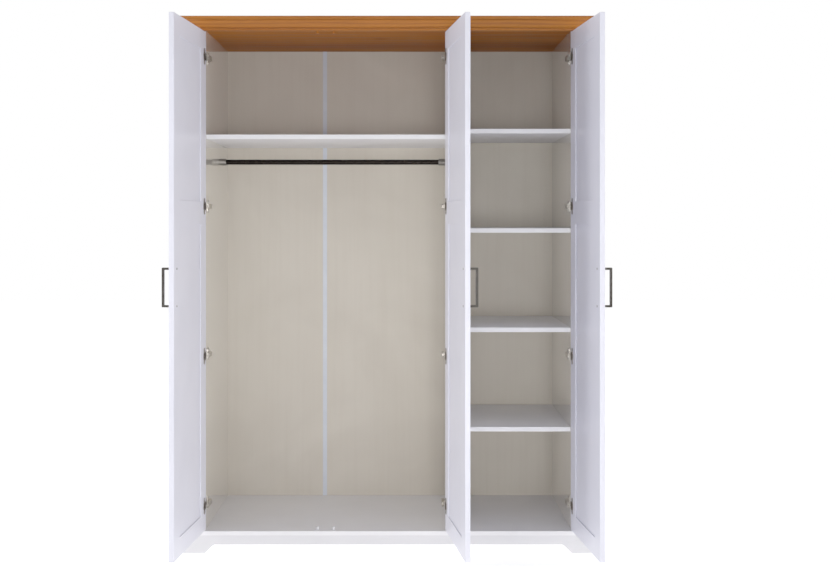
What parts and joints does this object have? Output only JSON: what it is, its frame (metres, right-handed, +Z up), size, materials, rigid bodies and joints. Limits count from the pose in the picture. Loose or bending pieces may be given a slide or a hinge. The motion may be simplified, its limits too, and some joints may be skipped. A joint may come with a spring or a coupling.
{
  "type": "wardrobe with doors",
  "caption": "Wide white wardrobe with a pine cornice, panelled doors standing open, a hat shelf over a hanging rail, a shelved side bay and bracket feet.",
  "frame": {"origin": "bottom centre of the whole wardrobe's box, doors open, at the level of the feet", "axes": "+Z up, +Y from the front of the wardrobe towards its back, +X to the right as one looks into it"},
  "size_m": [1.596, 1.0926, 2],
  "materials": {
    "white_lacquer": "glossy white lacquer on board",
    "door_paint": "satin white lacquer on wood",
    "oiled_pine": "honey-coloured varnished pine",
    "back_board": "matt laminated hardboard",
    "joint_plastic": "satin extruded plastic",
    "white_plastic": "moulded plastic",
    "rail_metal": "dark polished tube",
    "socket_metal": "satin nickel",
    "hinge_metal": "nickel plated steel",
    "handle_metal": "dark antique finish"
  },
  "bodies": {
    "carcass": {"back_joint_strip": "joint_plastic", "back_panel_left": "back_board", "back_panel_right": "back_board", "centre_divider": "white_lacquer", "cornice_front": "oiled_pine", "cornice_left": "oiled_pine", "cornice_right": "oiled_pine", "door_stop_bottom_left": "white_plastic", "door_stop_bottom_middle": "white_plastic", "door_stop_top_left": "oiled_pine", "door_stop_top_middle": "oiled_pine", "floor_panel": "white_lacquer", "hanging_rail": "rail_metal", "hat_shelf": "white_lacquer", "hinge_arm_left_1": "hinge_metal", "hinge_arm_left_2": "hinge_metal", "hinge_arm_left_3": "hinge_metal", "hinge_arm_left_4": "hinge_metal", "hinge_arm_middle_1": "hinge_metal", "hinge_arm_middle_2": "hinge_metal", "hinge_arm_middle_3": "hinge_metal", "hinge_arm_middle_4": "hinge_metal", "hinge_arm_right_1": "hinge_metal", "hinge_arm_right_2": "hinge_metal", "hinge_arm_right_3": "hinge_metal", "hinge_arm_right_4": "hinge_metal", "plinth_back": "white_lacquer", "plinth_front": "white_lacquer", "plinth_side_left": "white_lacquer", "plinth_side_right": "white_lacquer", "rail_socket_left": "socket_metal", "rail_socket_right": "socket_metal", "right_shelf_1": "white_lacquer", "right_shelf_2": "white_lacquer", "right_shelf_3": "white_lacquer", "right_shelf_4": "white_lacquer", "side_wall_left": "white_lacquer", "side_wall_right": "white_lacquer", "top_panel": "oiled_pine"},
    "left_door": {"door_left_frame": "door_paint", "door_left_handle": "handle_metal", "door_left_panel": "door_paint", "hinge_cup_left_1": "hinge_metal", "hinge_cup_left_2": "hinge_metal", "hinge_cup_left_3": "hinge_metal", "hinge_cup_left_4": "hinge_metal"},
    "middle_door": {"door_middle_frame": "door_paint", "door_middle_handle": "handle_metal", "door_middle_panel": "door_paint", "hinge_cup_middle_1": "hinge_metal", "hinge_cup_middle_2": "hinge_metal", "hinge_cup_middle_3": "hinge_metal", "hinge_cup_middle_4": "hinge_metal"},
    "right_door": {"door_right_frame": "door_paint", "door_right_handle": "handle_metal", "door_right_panel": "door_paint", "hinge_cup_right_1": "hinge_metal", "hinge_cup_right_2": "hinge_metal", "hinge_cup_right_3": "hinge_metal", "hinge_cup_right_4": "hinge_metal"}
  },
  "joints": [
    {"name": "left_door_hinge", "type": "hinge", "parent": "carcass", "child": "left_door", "pos_m": [-0.6955, -0.08825, 1.016], "axis": [0, 0, 1], "range_deg": [0, 94.6]},
    {"name": "middle_door_hinge", "type": "hinge", "parent": "carcass", "child": "middle_door", "pos_m": [0.22513, -0.08825, 1.016], "axis": [0, 0, -1], "range_deg": [0, 96.4]},
    {"name": "right_door_hinge", "type": "hinge", "parent": "carcass", "child": "right_door", "pos_m": [0.6955, -0.08825, 1.016], "axis": [0, 0, -1], "range_deg": [0, 94.6]}
  ]
}
